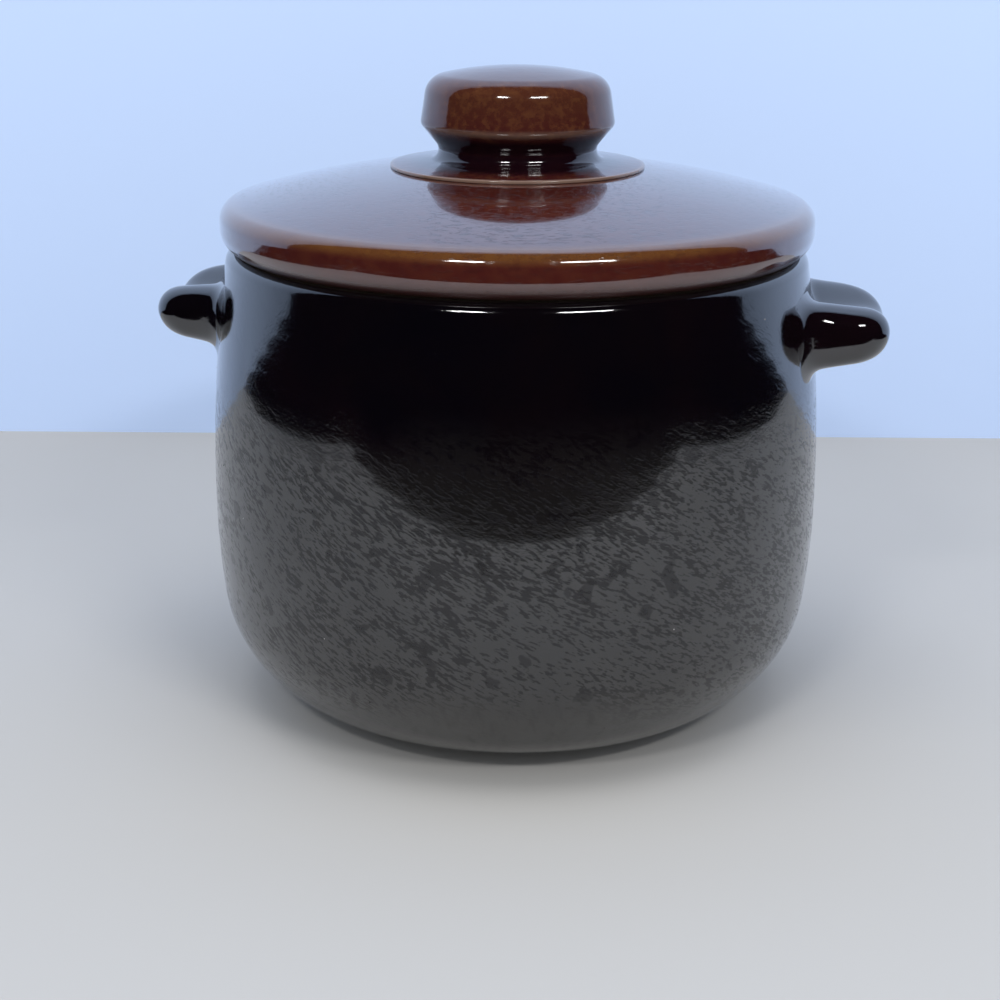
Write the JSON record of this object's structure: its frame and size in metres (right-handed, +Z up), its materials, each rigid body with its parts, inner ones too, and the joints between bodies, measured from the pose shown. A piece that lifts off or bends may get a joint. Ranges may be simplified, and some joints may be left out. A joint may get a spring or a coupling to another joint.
{
  "type": "bean pot",
  "caption": "Squat round lidded pot with a softly bulging wall, two stubby side lugs with thumb troughs, and a domed lift-off lid under a wide knob, for slow baking and serving beans.",
  "frame": {"origin": "on the pot's turned axis, at the plane it stands on; with the two lugs' unlike reaches this is the bottom centre of the bounding box to within about 1.6 mm", "axes": "+X along the lug handles, towards the longer one (lug_right); +Z up along the turned axis; -Y is the side nearest the camera in the picture"},
  "size_m": [0.224, 0.19, 0.1971],
  "materials": {
    "pot_glaze": "very glossy near-black brown glaze",
    "lid_glaze": "glossy red-brown glaze with fine mottling",
    "knob_glaze": "glossy amber-brown glaze"
  },
  "bodies": {
    "pot": {"vessel": "pot_glaze", "lug_left": "pot_glaze", "lug_right": "pot_glaze"},
    "lid": {"lid": "lid_glaze", "knob": "knob_glaze"}
  },
  "joints": [
    {"name": "lid_lift", "type": "slide", "parent": "pot", "child": "lid", "axis": [0, 0, 1], "range_m": [0, 0.15]}
  ]
}
